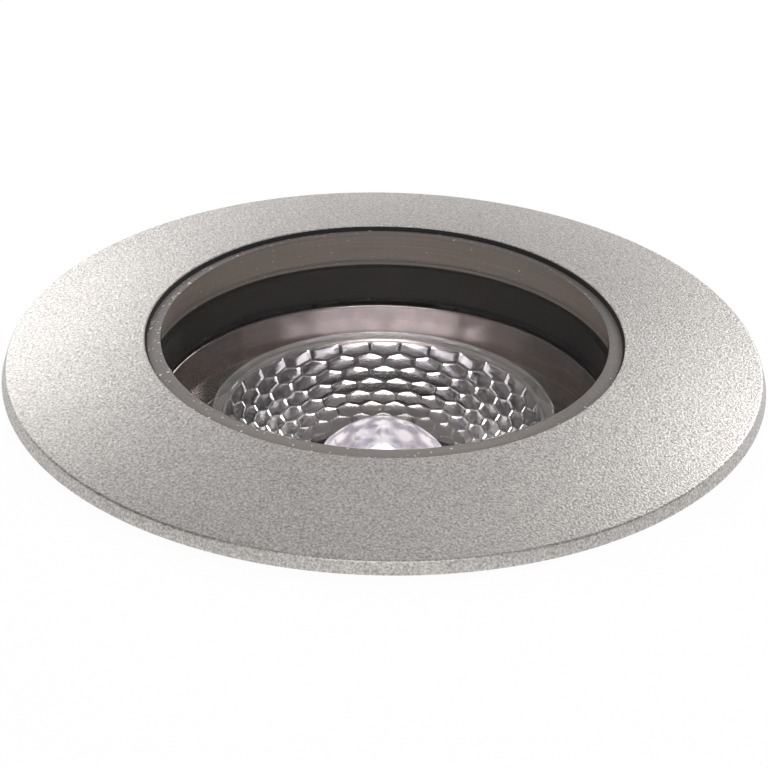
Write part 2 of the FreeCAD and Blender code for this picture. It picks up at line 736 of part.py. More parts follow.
def driver_cover():
    top = COVER_Z + COVER_T
    disc = tube(COVER_HOLE_R, COVER_R, COVER_Z, top)
    rim = tube(COVER_R - COVER_RIM_T, COVER_R, COVER_Z, top + COVER_RIM_H)
    hole = rod(M3_R + HOLE_CLEAR, COVER_Z - CUT, top + CUT, BOSS_PCD_R, 0)
    notch = rod(M3_HEAD_R + 2 * HOLE_CLEAR, top, top + COVER_RIM_H + CUT, BOSS_PCD_R, 0)
    cuts = around(hole, BOSS_COUNT, BOSS_START) + around(notch, BOSS_COUNT, BOSS_START)
    return disc.fuse(rim).removeSplitter().cut(cuts)


def cover_grommet():
    top = COVER_Z + COVER_T
    inner = COVER_HOLE_R - GROMMET_REACH
    neck = COVER_HOLE_R - SEAT_CLEAR
    outer = COVER_HOLE_R + GROMMET_REACH
    return turned([
        (inner, COVER_Z - GROMMET_LIP),
        (outer, COVER_Z - GROMMET_LIP),
        (outer, COVER_Z),
        (neck, COVER_Z),
        (neck, top),
        (outer, top),
        (outer, top + GROMMET_LIP),
        (inner, top + GROMMET_LIP),
    ])


def cover_screws():
    seat = COVER_Z + COVER_T
    screw = cap_head_screw(TAP_R, M3_HEAD_R, M3_HEAD_H, seat, COVER_SCREW_L, M3_KEY_AF)
    screw.translate(Vector(BOSS_PCD_R, 0, 0))
    return Part.makeCompound(around(screw, BOSS_COUNT, BOSS_START))


def standoff_places():
    reach = DRIVER_R - STANDOFF_INSET
    places = []
    for k in range(STANDOFFS):
        a = math.radians(STANDOFF_START + 360.0 * k / STANDOFFS)
        places.append((reach * math.cos(a), reach * math.sin(a)))
    return places


def driver_standoffs():
    posts = []
    top = DRIVER_Z - DRIVER_T
    for x, y in standoff_places():
        post = prism(STANDOFF_AF, CAP_INSIDE, top, x, y)
        posts.append(post.cut(rod(M2_R, CAP_INSIDE + CUT, top + CUT, x, y)))
    return Part.makeCompound(posts)


def driver_board():
    holes = [rod(M2_R + HOLE_CLEAR, DRIVER_Z - DRIVER_T - CUT, DRIVER_Z + CUT, x, y) for x, y in standoff_places()]
    return rod(DRIVER_R, DRIVER_Z - DRIVER_T, DRIVER_Z).cut(holes)


def driver_screws():
    screws = []
    for x, y in standoff_places():
        screw = cap_head_screw(M2_R, M2_HEAD_R, M2_HEAD_H, DRIVER_Z, DRIVER_SCREW_L, M2_KEY_AF)
        screw.translate(Vector(x, y, 0))
        screws.append(screw)
    return Part.makeCompound(screws)


def choke_core():
    """Drum core: two cheeks and a waist."""
    x, y = CHOKE_AT
    top = DRIVER_Z + CHOKE_H
    waist = CHOKE_R - CHOKE_CHEEK
    drum = rod(waist, DRIVER_Z, top, x, y)
    foot_cheek = rod(CHOKE_R, DRIVER_Z, DRIVER_Z + CHOKE_CHEEK, x, y)
    top_cheek = rod(CHOKE_R, top - CHOKE_CHEEK, top, x, y)
    return drum.fuse([foot_cheek, top_cheek]).removeSplitter()


def choke_winding():
    x, y = CHOKE_AT
    waist = CHOKE_R - CHOKE_CHEEK + THREAD_FIT
    low = DRIVER_Z + CHOKE_CHEEK + THREAD_FIT
    coil = tube(waist, CHOKE_R - CHOKE_CHEEK / 3, low, DRIVER_Z + CHOKE_H - CHOKE_CHEEK - THREAD_FIT)
    coil.translate(Vector(x, y, 0))
    return coil


def capacitors():
    cans = []
    for x, y in CAN_AT:
        cans.append(rod(CAN_R, DRIVER_Z, DRIVER_Z + CAN_H, x, y))
    return Part.makeCompound(cans)


def driver_chips():
    chips = []
    for x, y, w, d, h in CHIP_AT:
        chips.append(block(x - w / 2, x + w / 2, y - d / 2, y + d / 2, DRIVER_Z, DRIVER_Z + h))
    return Part.makeCompound(chips)


def terminal(x, y, turn):
    """Two-way terminal with a sloping top, wire holes facing outward."""
    d = TERMINAL_D / 2
    slope = TERMINAL_H / 3
    side = [
        Vector(-d, 0, 0),
        Vector(d, 0, 0),
        Vector(d, 0, TERMINAL_H - slope),
        Vector(0, 0, TERMINAL_H),
        Vector(-d, 0, TERMINAL_H),
    ]
    body = Part.Face(Part.makePolygon(side + [side[0]])).extrude(Vector(0, TERMINAL_W, 0))
    body.translate(Vector(0, -TERMINAL_W / 2, 0))
    for offset in (-TERMINAL_W / 4, TERMINAL_W / 4):
        hole = Part.makeCylinder(WIRE_HOLE_R, d, Vector(d / 2, offset, TERMINAL_H / 3), Vector(1, 0, 0))
        body = body.cut(hole)
    body = spun(body, turn)
    body.translate(Vector(x, y, DRIVER_Z))
    return body


def terminals():
    return Part.makeCompound([terminal(*place) for place in TERMINAL_AT])


def base_cap():
    groove = HOUSING_FOOT + CAP_GROOVE_LIFT
    spigot_top = HOUSING_FOOT + CAP_SPIGOT_H
    body = turned([
        (GLAND_R + GLAND_CLEAR, CAP_FOOT),
        (HOUSING_R - CAP_EDGE, CAP_FOOT),
        (HOUSING_R, CAP_FOOT + CAP_EDGE),
        (HOUSING_R, HOUSING_FOOT),
        (CAP_SPIGOT_R, HOUSING_FOOT),
        (CAP_SPIGOT_R, groove),
        (CAP_GROOVE_R, groove),
        (CAP_GROOVE_R, groove + CAP_GROOVE_H),
        (CAP_SPIGOT_R, groove + CAP_GROOVE_H),
        (CAP_SPIGOT_R, spigot_top),
        (CAP_DISH_R, spigot_top),
        (CAP_DISH_R, CAP_INSIDE),
        (GLAND_R + GLAND_CLEAR, CAP_INSIDE),
    ])
    wide = M3_HEAD_R + HOLE_CLEAR
    narrow = M3_R + HOLE_CLEAR
    countersink = Part.makeCone(wide, narrow, M3_HEAD_H, Vector(BOSS_PCD_R, 0, CAP_FOOT))
    hole = rod(narrow, CAP_FOOT - CUT, spigot_top + CUT, BOSS_PCD_R, 0)
    return body.cut(around(countersink.fuse(hole), BOSS_COUNT, BOSS_START))


def cap_oring():
    low = HOUSING_FOOT + CAP_GROOVE_LIFT
    return oring(CAP_GROOVE_R + ORING_CLEAR, CAN_BORE_R - ORING_CLEAR, low + ORING_CLEAR, low + CAP_GROOVE_H - ORING_CLEAR)


def cap_screws():
    """Countersunk screws, heads flush with the underside of the cap."""
    foot = CAP_FOOT + SEAT_CLEAR
    head_top = CAP_FOOT + M3_HEAD_H
    tip = BOSS_FOOT + TAP_DEPTH - CUT
    body = turned([
        (0, foot),
        (M3_HEAD_R, foot),
        (TAP_R - THREAD_FIT, head_top),
        (TAP_R - THREAD_FIT, tip),
        (0, tip),
    ])
    body = body.cut(prism(M3_KEY_AF, foot - CUT, foot + M3_HEAD_H * 0.6))
    body.translate(Vector(BOSS_PCD_R, 0, 0))
    return Part.makeCompound(around(body, BOSS_COUNT, BOSS_START))


def gland_washer():
    return tube(GLAND_R + GLAND_CLEAR, GLAND_HEX_AF / 2, GLAND_SHOULDER, CAP_FOOT)


def gland_body():
    hexagon = prism(GLAND_HEX_AF, GLAND_HEX_FOOT, GLAND_SHOULDER)
    spigot = rod(GLAND_R, GLAND_HEX_FOOT, CAP_INSIDE)
    collet = rod(GLAND_COLLET_R, GLAND_COLLET_FOOT, GLAND_HEX_FOOT)
    body = hexagon.fuse([spigot, collet]).removeSplitter()
    body = body.cut(rod(GLAND_BORE_R, GLAND_COLLET_FOOT - CUT, CAP_INSIDE + CUT))
    w = GLAND_SLIT_W / 2
    inner = GLAND_BORE_R - CUT
    outer = GLAND_COLLET_R + CUT
    slit = block(inner, outer, -w, w, GLAND_COLLET_FOOT - CUT, GLAND_HEX_FOOT - GLAND_COLLET_H / 3)
    return body.cut(around(slit, 4, 45))


def gland_seal():
    return tube(GLAND_SEAL_BORE_R, GLAND_BORE_R - SEAT_CLEAR, GLAND_COLLET_FOOT + SEAT_CLEAR, GLAND_NUT_TOP)


def gland_nut():
    """Domed nut: a hexagon above, drawn in to a round mouth below."""
    inner = GLAND_COLLET_R + HOLE_CLEAR
    outer = inner + GLAND_NUT_WALL
    hex_foot = GLAND_NUT_TOP - GLAND_NUT_HEX_H
    mouth_t = GLAND_NUT_H - GLAND_COLLET_H + GLAND_NUT_TOP_GAP - PAD_CLEAR
    shell = turned([
        (GLAND_BORE_R, GLAND_NUT_FOOT),
        (GLAND_BORE_R + GLAND_NUT_WALL, GLAND_NUT_FOOT),
        (outer, GLAND_NUT_FOOT + mouth_t),
        (outer, GLAND_NUT_TOP),
        (inner, GLAND_NUT_TOP),
        (inner, GLAND_NUT_FOOT + mouth_t),
        (GLAND_BORE_R, GLAND_NUT_FOOT + mouth_t),
    ])
    grip = prism(GLAND_HEX_AF - CUT, hex_foot, GLAND_NUT_TOP)
    grip = grip.cut(rod(inner, hex_foot - CUT, GLAND_NUT_TOP + CUT))
    return shell.fuse(grip).removeSplitter()


NODES = (
    trim_ring,
    glass_disc,
    glass_joint,
    glass_gasket,
    trim_oring,
    flange_pad,
    housing,
    grip_rings,
    snap_ring,
    slip_washer,
    turntable,
    pivot_pins,
    friction_washers,
    cradle,
    lens,
    lens_holder,
    led_board,
    led_package,
    led_emitter,
    board_connector,
    board_screws,
    heat_sheet,
    heat_sink,
    driver_cover,
    cover_grommet,
    cover_screws,
    driver_standoffs,
    driver_board,
    driver_screws,
    choke_core,
    choke_winding,
    capacitors,
    driver_chips,
    terminals,
    base_cap,
    cap_oring,
    cap_screws,
    gland_washer,
    gland_body,
    gland_seal,
    gland_nut,
)

os.makedirs("parts", exist_ok=True)
for node in NODES:
    shape = node()
    shape.exportStep("parts/" + node.__name__ + ".step")
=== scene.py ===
import bpy
import bmesh
import math
from mathutils import Matrix, Vector


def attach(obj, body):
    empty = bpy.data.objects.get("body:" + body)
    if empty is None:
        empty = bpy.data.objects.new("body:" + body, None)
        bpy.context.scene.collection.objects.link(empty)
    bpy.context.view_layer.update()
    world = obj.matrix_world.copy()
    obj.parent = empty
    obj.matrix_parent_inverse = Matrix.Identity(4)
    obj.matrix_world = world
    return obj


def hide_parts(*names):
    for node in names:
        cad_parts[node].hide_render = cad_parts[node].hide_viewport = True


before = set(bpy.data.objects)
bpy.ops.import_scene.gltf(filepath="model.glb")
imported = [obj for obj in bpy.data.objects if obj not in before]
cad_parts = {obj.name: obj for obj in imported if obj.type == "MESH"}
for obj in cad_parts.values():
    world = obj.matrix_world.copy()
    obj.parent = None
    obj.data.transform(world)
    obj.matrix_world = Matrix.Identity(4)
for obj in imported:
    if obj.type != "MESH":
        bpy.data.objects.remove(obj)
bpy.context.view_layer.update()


# ---- Camera ----
# The picture was taken with a long lens from 29 degrees above the ground,
# turned a little about the line of sight, and aimed at the middle of the trim.
MM = 0.001
VIEW_HEIGHT = math.radians(29.09)
VIEW_NOD = math.radians(-0.13)
VIEW_TURN = math.radians(-1.16)
VIEW_DISTANCE = 829.7 * MM
AIM = Vector((0, 0, 1.65 * MM))
FILM_WIDTH = 36.0
FOCAL_LENGTH = 330.6
NEAREST, FARTHEST = 0.01, 50.0

eye_line = Vector((0, -math.cos(VIEW_HEIGHT), math.sin(VIEW_HEIGHT)))
look = -eye_line
side = Vector((1, 0, 0))
above = side.cross(look)
nod = Matrix.Rotation(VIEW_NOD, 3, side)
look = nod @ look
above = nod @ above
turn = Matrix.Rotation(VIEW_TURN, 3, look)
side = turn @ side
above = turn @ above

camera = bpy.data.objects.new("camera", bpy.data.cameras.new("camera"))
bpy.context.scene.collection.objects.link(camera)
camera.data.sensor_fit = "HORIZONTAL"
camera.data.sensor_width = FILM_WIDTH
camera.data.lens = FOCAL_LENGTH
camera.data.clip_start = NEAREST
camera.data.clip_end = FARTHEST
camera.matrix_world = Matrix((
    (side.x, above.x, -look.x, AIM.x + eye_line.x * VIEW_DISTANCE),
    (side.y, above.y, -look.y, AIM.y + eye_line.y * VIEW_DISTANCE),
    (side.z, above.z, -look.z, AIM.z + eye_line.z * VIEW_DISTANCE),
    (0, 0, 0, 1),
))
bpy.context.scene.camera = camera
bpy.context.scene.view_settings.view_transform = "Standard"


# ---- Ground and backdrop ----
# A pale tongue of ground in front, which the flange rests on and which slopes
# down to a lower floor; beside and behind it the canister stands free.
class Wire:
    """A node's output that takes part in sums."""

    def __init__(self, paint, socket):
        self.paint = paint
        self.socket = socket

    def math(self, work, *others, swap=False):
        values = (self,) + others
        if swap:
            values = values[::-1]
        return self.paint.node("ShaderNodeMath", {"operation": work}, dict(enumerate(values)))

    def __add__(self, other):
        return self.math("ADD", other)

    def __sub__(self, other):
        return self.math("SUBTRACT", other)

    def __mul__(self, other):
        return self.math("MULTIPLY", other)

    def __rsub__(self, other):
        return self.math("SUBTRACT", other, swap=True)

    def __gt__(self, other):
        return self.math("GREATER_THAN", other)

    __radd__ = __add__
    __rmul__ = __mul__

    def clamped(self):
        return self.math("MINIMUM", 1.0).math("MAXIMUM", 0.0)


class Paint:
    """A material or world whose nodes are made by one method."""

    def __init__(self, name, owner=None):
        self.data = owner or bpy.data.materials.new(name)
        self.data.use_nodes = True
        self.tree = self.data.node_tree
        self.tree.nodes.clear()

    def node(self, kind, settings=None, inputs=None, out=0):
        made = self.tree.nodes.new(kind)
        for key, value in (settings or {}).items():
            if key == "stops":
                ramp = made.color_ramp
                while len(ramp.elements) < len(value):
                    ramp.elements.new(0.5)
                for element, (place, shade) in zip(ramp.elements, value):
                    element.position = place
                    element.color = (*shade, 1)
            else:
                setattr(made, key, value)
        for key, value in (inputs or {}).items():
            if isinstance(value, Wire):
                self.tree.links.new(value.socket, made.inputs[key])
            else:
                made.inputs[key].default_value = value
        return Wire(self, made.outputs[out])

    def output(self, surface, kind="ShaderNodeOutputMaterial"):
        made = self.tree.nodes.new(kind)
        self.tree.links.new(surface.socket, made.inputs["Surface"])
        return self.data

    def place(self):
        """The point of the surface, in metres from the light's own origin."""
        return self.node("ShaderNodeTexCoord", out="Object")

    def axis(self, at, name):
        return self.node("ShaderNodeSeparateXYZ", inputs={0: at}, out=name)

    def noise(self, scale, detail=2.0, rough=0.5, at=None):
        """Cloudy pattern; scale is the number of its blots in a metre."""
        return self.node("ShaderNodeTexNoise", inputs={
            "Vector": at or self.place(), "Scale": scale, "Detail": detail, "Roughness": rough,
        })

    def tint(self, factor, first, second):
        """Colour between two others, each three numbers or a Wire."""
        pair = [shade if isinstance(shade, Wire) else (*shade, 1) for shade in (first, second)]
        return self.node(
            "ShaderNodeMix", {"data_type": "RGBA"}, {0: factor, 6: pair[0], 7: pair[1]}, out=2
        )

    def bump(self, height, strength, depth):
        """Relief of the given depth in metres."""
        return self.node(
            "ShaderNodeBump", inputs={"Height": height, "Strength": strength, "Distance": depth}
        )

    def mix(self, factor, first, second):
        return self.node("ShaderNodeMixShader", inputs={0: factor, 1: first, 2: second})


def rays(paint, *kinds):
    """1 for rays of the named kinds, 0 for all others."""
    wires = [paint.node("ShaderNodeLightPath", out=f"Is {kind} Ray") for kind in kinds]
    return sum(wires[1:], wires[0]).clamped()


GLOW_SHARE = 0.93
WHITE = (1.0, 1.0, 1.0, 1.0)
PALE_GREY = (0.9, 0.9, 0.9, 1.0)


def backdrop_material():
    """White where it is seen, and a plain pale ground for the light and the shadows."""
    paint = Paint("backdrop_white")
    lit = paint.node("ShaderNodeBsdfDiffuse", inputs={"Color": PALE_GREY})
    glow = paint.node("ShaderNodeEmission", inputs={"Color": WHITE, "Strength": 1.0})
    seen = rays(paint, "Camera", "Glossy", "Transmission")
    return paint.output(paint.mix(seen * GLOW_SHARE, lit, glow))


GROUND_NOTCH = 36.0 * MM
NOTCH_STEPS = 48
GROUND_SIDE = 44.0 * MM
GROUND_TOP = -0.02 * MM
TONGUE_NECK = -0.04
TONGUE_END = (0.165, -0.24)
BANK_FOOT = (0.38, -0.62)
LOWER_FLOOR = -104.0 * MM
FLOOR_HALF = 6.0

ground_mesh = bmesh.new()
notch = []
for i in range(NOTCH_STEPS + 1):
    a = math.pi + math.pi * i / NOTCH_STEPS
    notch.append((GROUND_NOTCH * math.cos(a), GROUND_NOTCH * math.sin(a)))
tongue = [(GROUND_SIDE, 0.0), (GROUND_SIDE, TONGUE_NECK), TONGUE_END]
tongue_left = [(-x, y) for x, y in tongue[::-1]]
outline = tongue_left[-1:] + notch + tongue + tongue_left[:-1]
top = [ground_mesh.verts.new((x, y, GROUND_TOP)) for x, y in outline]
ground_mesh.faces.new(top[::-1])
bank_x, bank_y = BANK_FOOT
bank = [ground_mesh.verts.new((x, bank_y, LOWER_FLOOR)) for x in (-bank_x, bank_x)]
ground_mesh.faces.new((top[-3], top[-2], bank[0], bank[1]))
ground_mesh.faces.new([
    ground_mesh.verts.new((x * FLOOR_HALF, y * FLOOR_HALF, LOWER_FLOOR))
    for x, y in ((-1, -1), (1, -1), (1, 1), (-1, 1))
])
ground_data = bpy.data.meshes.new("ground")
ground_mesh.to_mesh(ground_data)
ground_mesh.free()
ground = bpy.data.objects.new("ground", ground_data)
bpy.context.scene.collection.objects.link(ground)
ground_data.materials.append(backdrop_material())

# The surroundings light the object evenly, and show in metal and glass as a
# white horizon under a dark ceiling.
SOFT_GREY = (0.5, 0.5, 0.505, 1.0)
SKY_STOPS = [
    # how far up, and the grey there
    (0.0, (1.0, 1.0, 1.0)),
    (0.13, (1.0, 1.0, 1.0)),
    (0.32, (0.12, 0.12, 0.12)),
    (0.44, (0.035, 0.036, 0.037)),
    (0.54, (0.035, 0.036, 0.037)),
    (0.70, (0.16, 0.16, 0.16)),
    (1.0, (0.24, 0.24, 0.24)),
]
world = bpy.data.worlds.new("studio")
bpy.context.scene.world = world
sky = Paint("studio", world)
soft = sky.node("ShaderNodeBackground", inputs={"Color": SOFT_GREY, "Strength": 1.0})
rise = sky.axis(sky.node("ShaderNodeTexCoord", out="Generated"), "Z")
shade = sky.node("ShaderNodeValToRGB", {"stops": SKY_STOPS}, {0: rise})
bare = sky.node("ShaderNodeBackground", inputs={"Color": shade, "Strength": 1.0})
seen_sky = rays(sky, "Camera", "Glossy", "Transmission")
sky.output(sky.mix(seen_sky, soft, bare), "ShaderNodeOutputWorld")


# ---- Lamps ----
# Four large soft boxes aimed at the trim: over the back left, the back right
# and the middle, and one on the camera's side that lights the rim.
SOFT_BOXES = [
    # name, place in metres, width and height in metres, power in watts
    ("lamp_left", (-0.44, 0.84, 0.34), (0.5, 0.4), 3.0),
    ("lamp_right", (0.6, 0.72, 0.48), (0.5, 0.6), 5.1),
    ("lamp_over", (0.0, 0.38, 0.93), (0.8, 0.6), 1.1),
    ("lamp_front", (0.0, -0.8, 0.6), (0.8, 0.4), 3.6),
]
for name, at, size, power in SOFT_BOXES:
    lamp = bpy.data.lights.new(name, "AREA")
    lamp.shape = "RECTANGLE"
    lamp.size, lamp.size_y = size
    lamp.energy = power
    box = bpy.data.objects.new(name, lamp)
    bpy.context.scene.collection.objects.link(box)
    box.location = at
    box.rotation_euler = (Vector((0, 0, 0)) - Vector(at)).to_track_quat("-Z", "Y").to_euler()


# ---- Trim ring ----
# Turned from stainless steel, the conical face bead blasted to an even grain,
# with a straight rim on the ground and a sleeve that screws into the canister.
ROUND_STEPS = 4
SIDE_SHARE = 0.45
TRIM_PARTS = 384


def arc_corners(points, radius):
    """The outline with its corners rounded; a point's third number is its own radius."""
    made = []
    count = len(points)
    for i, (r, z, *mark) in enumerate(points):
        size = mark[0] if mark else radius
        if not size:
            made.append((r, z))
            continue
        here = Vector((r, z))
        before = Vector(points[i - 1][:2]) - here
        after = Vector(points[(i + 1) % count][:2]) - here
        reach = min(size, before.length * SIDE_SHARE, after.length * SIDE_SHARE)
        start = here + before.normalized() * reach
        end = here + after.normalized() * reach
        for k in range(ROUND_STEPS + 1):
            t = k / ROUND_STEPS
            made.append(tuple(start * (1 - t) ** 2 + here * (2 * t * (1 - t)) + end * t ** 2))
    return made


def turned_skin(mesh, outline, parts, closed=True):
    """Adds the skin of a turned form; the outline is (radius, height) in millimetres."""
    rings = []
    for r, z in outline:
        if r < 1e-6:
            rings.append([mesh.verts.new((0, 0, z * MM))])
            continue
        ring = []
        for k in range(parts):
            a = 2 * math.pi * k / parts
            ring.append(mesh.verts.new((r * MM * math.cos(a), r * MM * math.sin(a), z * MM)))
        rings.append(ring)
    last = len(rings) if closed else len(rings) - 1
    for i in range(last):
        a = rings[i]
        b = rings[(i + 1) % len(rings)]
        for k in range(parts):
            m = (k + 1) % parts
            if len(a) == 1:
                mesh.faces.new((a[0], b[m], b[k]))
            elif len(b) == 1:
                mesh.faces.new((a[k], a[m], b[0]))
            else:
                mesh.faces.new((a[k], a[m], b[m], b[k]))


def piece_from(name, mesh, body, node, finishes, sharp=32.0):
    """Makes the piece; edges that turn by more than sharp degrees stay sharp."""
    bmesh.ops.recalc_face_normals(mesh, faces=mesh.faces)
    data = bpy.data.meshes.new(name)
    mesh.to_mesh(data)
    mesh.free()
    for face in data.polygons:
        face.use_smooth = True
    data.set_sharp_from_angle(angle=math.radians(sharp))
    piece = bpy.data.objects.new(name, data)
    bpy.context.scene.collection.objects.link(piece)
    for material in finishes:
        data.materials.append(material)
    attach(piece, body)
    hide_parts(node)
    return piece


def lathe(name, outline, body, node, finishes, parts=256, closed=True):
    mesh = bmesh.new()
    turned_skin(mesh, outline, parts, closed)
    return piece_from(name, mesh, body, node, finishes)


def blasted_steel():
    """Fine even pits, finer glitter between them, and very faint clouds."""
    paint = Paint("blasted_steel")
    pits = paint.noise(3600.0, 1.0)
    glitter = paint.noise(9000.0, 1.0)
    cloud = paint.noise(60.0)
    crisp_pits = (pits - 0.32) * 1.9
    mixed = (crisp_pits * 0.75 + glitter * 0.15 + cloud * 0.1).clamped()
    shader = paint.node("ShaderNodeBsdfPrincipled", inputs={
        "Base Color": paint.tint(mixed, (0.30, 0.286, 0.274), (0.86, 0.822, 0.79)),
        "Metallic": 1.0,
        "Roughness": 0.40 + glitter * 0.14,
        "Normal": paint.bump(pits * 0.8 + glitter * 0.2, 0.55, 0.12 * MM),
    })
    return paint.output(shader)


TRIM_OUTLINE = [
    # rim and face
    (45.0, 0.0, 0.12), (44.56, 1.65, 0.28), (28.2, 5.68, 0.18),
    # bore and the ledge that holds the gasket
    (28.2, -10.6, 0), (27.2, -10.6, 0), (27.2, -11.6, 0.1),
    # sleeve with the groove of the O-ring
    (30.8, -11.6, 0), (30.8, -3.2, 0), (29.3, -3.2, 0), (29.3, -1.2, 0), (30.8, -1.2, 0),
    # underside with the recess of the foam pad
    (30.8, 0.0, 0), (36.9, 0.0, 0), (36.9, 1.0, 0), (42.6, 1.0, 0), (42.6, 0.0, 0),
]
lathe(
    "trim_face", arc_corners(TRIM_OUTLINE, 0.1), "canister_body", "trim_ring",
    [blasted_steel()], TRIM_PARTS,
)


# ---- Glass disc ----
# Thick tempered plate, both faces polished. Its edge and the wide bevel on
# top are ground, so they are grey and scatter light, with small bright chips.
SCATTER_GREY = (0.8, 0.78, 0.77, 1.0)


def polished_glass(name, index, body_tint, haze=0.0, pale=0.0):
    """Clear for what is seen; shadows and soft light pass straight through."""
    paint = Paint(name)
    clear = paint.node("ShaderNodeBsdfPrincipled", inputs={
        "Base Color": (*body_tint, 1),
        "Roughness": haze,
        "IOR": index,
        "Transmission Weight": 1.0,
    })
    through = paint.node("ShaderNodeBsdfTransparent", inputs={"Color": (*body_tint, 1)})
    if pale:
        scatter = paint.node("ShaderNodeBsdfDiffuse", inputs={"Color": SCATTER_GREY})
        clear = paint.mix(paint.noise(500.0) * pale * 2.0, clear, scatter)
    return paint.output(paint.mix(rays(paint, "Shadow", "Diffuse"), clear, through))


def stretched_noise(paint, at, waves, detail):
    """Noise with its own number of waves in a metre along each axis."""
    spread = paint.node("ShaderNodeMapping", inputs={"Vector": at, "Scale": waves})
    return paint.noise(1.0, detail, at=spread)


CHIP_WHITE = (0.8, 0.8, 0.78)


def ground_glass(name, dark, light, chipped):
    """Level grinding streaks and specks; the bevel is also chipped at the left, and has painted
    light that makes it lighter towards the front and the left.
    """
    paint = Paint(name)
    at = paint.place()
    streak = stretched_noise(paint, at, (60.0, 60.0, 2600.0), 3.0)
    speck = paint.noise(2600.0, 1.0, 0.6, at)
    chip_grain = paint.noise(2600.0, 0.0, at=at)
    if chipped:
        to_right = paint.axis(at, "X")
        to_back = paint.axis(at, "Y")
        chip_share = (paint.noise(140.0, 2.0, 0.6, at) * 0.5 - to_right * 9.0).clamped()
        # painted light: the bevel is made lighter towards the front and the left
        tone_and_painted_light = 0.0 - to_right * 6.0 - to_back * 16.0
    else:
        chip_share = 0.0
        # the edge has no painted light, only a darker tone all over
        tone_and_painted_light = -0.1
    chips = ((chip_grain + chip_share * 0.19 - 0.82) * 14.0).clamped()
    # streaks and specks, and on the bevel the painted light, lighter towards the front and the
    # left
    base = paint.tint((streak * 0.8 + speck * 0.4 + tone_and_painted_light).clamped(), dark, light)
    shader = paint.node("ShaderNodeBsdfPrincipled", inputs={
        "Base Color": paint.tint(chips, base, CHIP_WHITE),
        "Roughness": 0.6,
        "IOR": 1.2,
        "Normal": paint.bump(speck + chips * 2.0, 0.4, 0.1 * MM),
    })
    return paint.output(shader)


BEVEL_FOOT = 4.9
LEVEL = 0.995
POLISHED, EDGE, BEVEL = range(3)
GLASS_OUTLINE = [
    # polished top and ground bevel
    (0.0, 5.64), (26.2, 5.64), (26.34, 5.64), (26.42, 5.62), (27.86, 5.14), (27.95, 5.05),
    # ground edge and polished underside
    (27.95, -6.66), (27.55, -7.06), (27.4, -7.06), (0.0, -7.06),
]
GLASS_FINISHES = [
    polished_glass("clear_glass", 1.5, (0.985, 1.0, 0.995)),
    ground_glass("ground_edge", (0.16, 0.135, 0.118), (0.29, 0.247, 0.217), False),
    ground_glass("ground_bevel", (0.065, 0.057, 0.053), (0.25, 0.229, 0.213), True),
]
glass = lathe(
    "glass_plate", GLASS_OUTLINE, "canister_body", "glass_disc",
    GLASS_FINISHES, closed=False,
)
for face in glass.data.polygons:
    if abs(face.normal.z) > LEVEL:
        face.material_index = POLISHED
    else:
        face.material_index = BEVEL if face.center.z > BEVEL_FOOT * MM else EDGE


# ---- Black silicone ----
# The joint that bonds the glass in its bore, poured and struck off, and the
# moulded L-shaped gasket it stands on: soft, matt and a little dusty.
def black_rubber(name="black_rubber", shade=0.010):
    """Black of the given depth, a quarter darker to a third lighter with the dust."""
    paint = Paint(name)
    dust = paint.noise(900.0, 3.0, 0.6)
    shader = paint.node("ShaderNodeBsdfPrincipled", inputs={
        "Base Color": paint.tint(dust, (shade * 0.75,) * 3, (shade * 1.35,) * 3),
        "Roughness": 0.5 + dust * 0.25,
        "IOR": 1.4,
        "Specular IOR Level": 0.25,
        "Normal": paint.bump(paint.noise(2500.0), 0.2, 0.05 * MM),
    })
    return paint.output(shader)


silicone = black_rubber()
JOINT_OUTLINE = [(27.98, -6.6), (28.17, -6.6), (28.17, 5.54), (28.12, 5.4), (27.98, 5.08)]
GASKET_OUTLINE = [
    (26.6, -11.58), (27.16, -11.58), (27.16, -10.58),
    (28.15, -10.58), (28.15, -7.08), (26.75, -7.08),
]
lathe(
    "joint_bead", JOINT_OUTLINE, "canister_body", "glass_joint",
    [black_rubber("joint_silicone", 0.026)],
)
lathe(
    "seat_gasket", arc_corners(GASKET_OUTLINE, 0.12), "canister_body",
    "glass_gasket", [silicone],
)


# ---- Turntable ----
# Turned aluminium ring with a thin upright lip and a floor, satin finished
# all round; the lamp hangs in its two ears.
def from_axis(paint, at):
    """The place with its height left out, and its distance from the light's axis."""
    flat = paint.node("ShaderNodeVectorMath", {"operation": "MULTIPLY"}, {0: at, 1: (1, 1, 0)})
    return flat, paint.node("ShaderNodeVectorMath", {"operation": "LENGTH"}, {0: flat}, out=1)


def satin_aluminium():
    """Fine lines from the turning tool, and faint upright runs that vary the roughness and
    paint upright streaks of reflection into the colour.
    """
    paint = Paint("satin_aluminium")
    at = paint.place()
    flat, radius = from_axis(paint, at)
    tool = (radius + paint.axis(at, "Z")) * 3200.0
    line_at = paint.node("ShaderNodeVectorMath", {"operation": "MULTIPLY_ADD"}, {
        0: flat, 1: (70.0,) * 3, 2: paint.node("ShaderNodeCombineXYZ", inputs={0: tool}),
    })
    lines = paint.noise(1.0, at=line_at)
    runs_and_painted_streaks = stretched_noise(paint, at, (420.0, 420.0, 30.0), 2.0)
    # painted reflection: the upright runs paint upright streaks into the colour
    mixed = lines * 0.6 + runs_and_painted_streaks * 0.4
    shader = paint.node("ShaderNodeBsdfPrincipled", inputs={
        "Base Color": paint.tint(mixed, (0.50, 0.447, 0.425), (0.82, 0.74, 0.71)),
        "Metallic": 1.0,
        "Roughness": 0.18 + runs_and_painted_streaks * 0.08,
        "Normal": paint.bump(lines, 0.04, 0.03 * MM),
    })
    return paint.output(shader)


